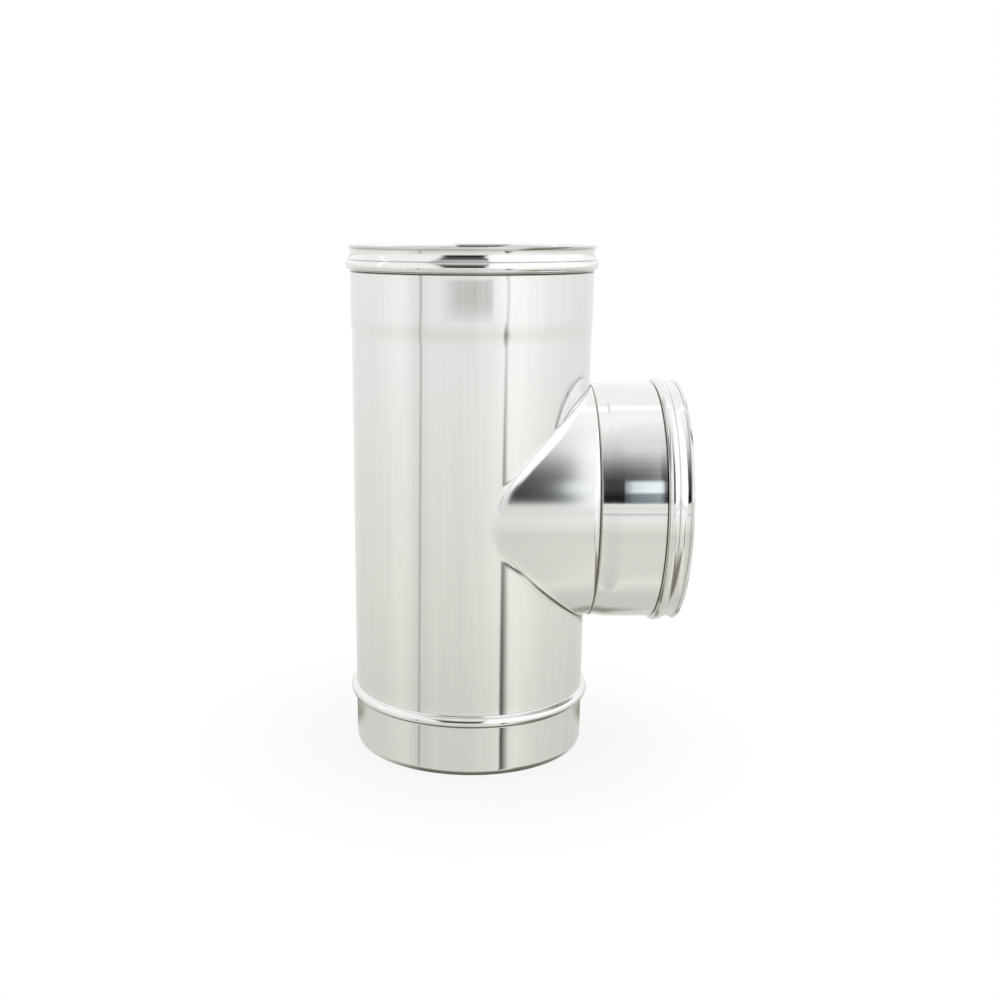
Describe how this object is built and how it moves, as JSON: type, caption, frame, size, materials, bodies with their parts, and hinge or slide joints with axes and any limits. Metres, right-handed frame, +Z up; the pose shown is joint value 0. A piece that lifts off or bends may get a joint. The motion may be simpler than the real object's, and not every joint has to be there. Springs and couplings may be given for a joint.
{
  "type": "stove pipe tee",
  "caption": "Single-wall steel flue tee: straight round tube with a beaded socket on top, a spigot with stop bead below, and a beaded branch socket welded to a collar pulled from the tube.",
  "frame": {"origin": "on the tube's axis, in the plane of its trimmed bottom edge", "axes": "+Z up along the tube towards the top socket, +X along the branch towards its mouth"},
  "size_m": [0.2102, 0.158, 0.323],
  "materials": {
    "bright_sheet": "bright annealed mirror, satin where the collar is pulled",
    "weld_metal": "fine rippled weld"
  },
  "bodies": {
    "root": {"main_tube": "bright_sheet", "branch_socket": "bright_sheet", "ring_weld": "weld_metal"}
  },
  "joints": []
}
